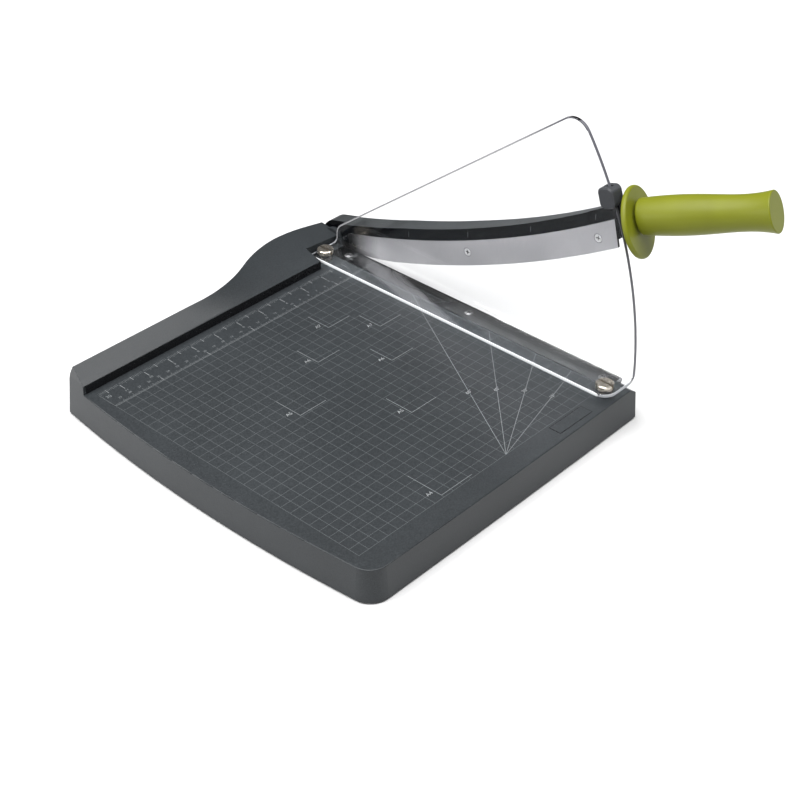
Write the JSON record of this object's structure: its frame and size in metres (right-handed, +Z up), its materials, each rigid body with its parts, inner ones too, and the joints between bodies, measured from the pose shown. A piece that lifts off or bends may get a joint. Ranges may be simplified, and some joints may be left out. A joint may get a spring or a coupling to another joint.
{
  "type": "guillotine paper trimmer",
  "caption": "Lever-arm desk guillotine for cutting paper, with a gridded platen, a clear blade guard and a long curved arm with a coloured grip.",
  "frame": {"origin": "centre of the footprint, on the plane the feet stand on", "axes": "+X across the platen towards the cut line, +Y along the cut line away from the user, +Z up"},
  "size_m": [0.3746, 0.4632, 0.2444],
  "materials": {
    "body_plastic": "fine grained moulded plastic",
    "dark_plastic": "satin moulded plastic",
    "grip_plastic": "satin soft-touch plastic",
    "clear_guard": "polished clear acrylic sheet",
    "blade_steel": "ground blade steel",
    "screw_steel": "plated screws",
    "nickel": "nickel plated brass",
    "arm_paint": "fine textured paint on cast metal",
    "hidden_steel": "zinc plated steel",
    "insert_brass": "turned brass",
    "foot_rubber": "moulded rubber"
  },
  "bodies": {
    "base": {"base_shell": "body_plastic", "lower_blade": "blade_steel", "lower_blade_screws": "screw_steel", "lower_blade_nuts": "screw_steel", "blade_guard": "clear_guard", "guard_spacers": "dark_plastic", "guard_inserts": "insert_brass", "pivot_bracket": "hidden_steel", "bracket_screws": "screw_steel", "pivot_bolt": "hidden_steel", "thrust_washer": "insert_brass", "spring_washers": "hidden_steel", "outer_washer": "hidden_steel", "pivot_nut": "hidden_steel", "rubber_feet": "foot_rubber"},
    "cutting_arm": {"arm": "arm_paint", "upper_blade": "blade_steel", "upper_blade_screws": "screw_steel", "guard_guide": "dark_plastic", "guide_screw": "screw_steel", "hand_guard": "grip_plastic", "handle_grip": "grip_plastic", "handle_tang": "hidden_steel", "pivot_bush": "insert_brass"},
    "front_thumbscrew": {"guard_thumbscrew_front": "nickel"},
    "rear_thumbscrew": {"guard_thumbscrew_rear": "nickel"}
  },
  "joints": [
    {"name": "arm_pivot", "type": "hinge", "parent": "base", "child": "cutting_arm", "pos_m": [0.144, 0.2027, 0.0325], "axis": [1, 0, 0], "range_deg": [-6, 22]},
    {"name": "front_thumbscrew_turn", "type": "hinge", "parent": "base", "child": "front_thumbscrew", "pos_m": [0.105, -0.129, 0.0405], "axis": [0, 0, 1], "range_deg": [0, 180]},
    {"name": "rear_thumbscrew_turn", "type": "hinge", "parent": "base", "child": "rear_thumbscrew", "pos_m": [0.105, 0.1857, 0.0405], "axis": [0, 0, 1], "range_deg": [0, 180]}
  ]
}
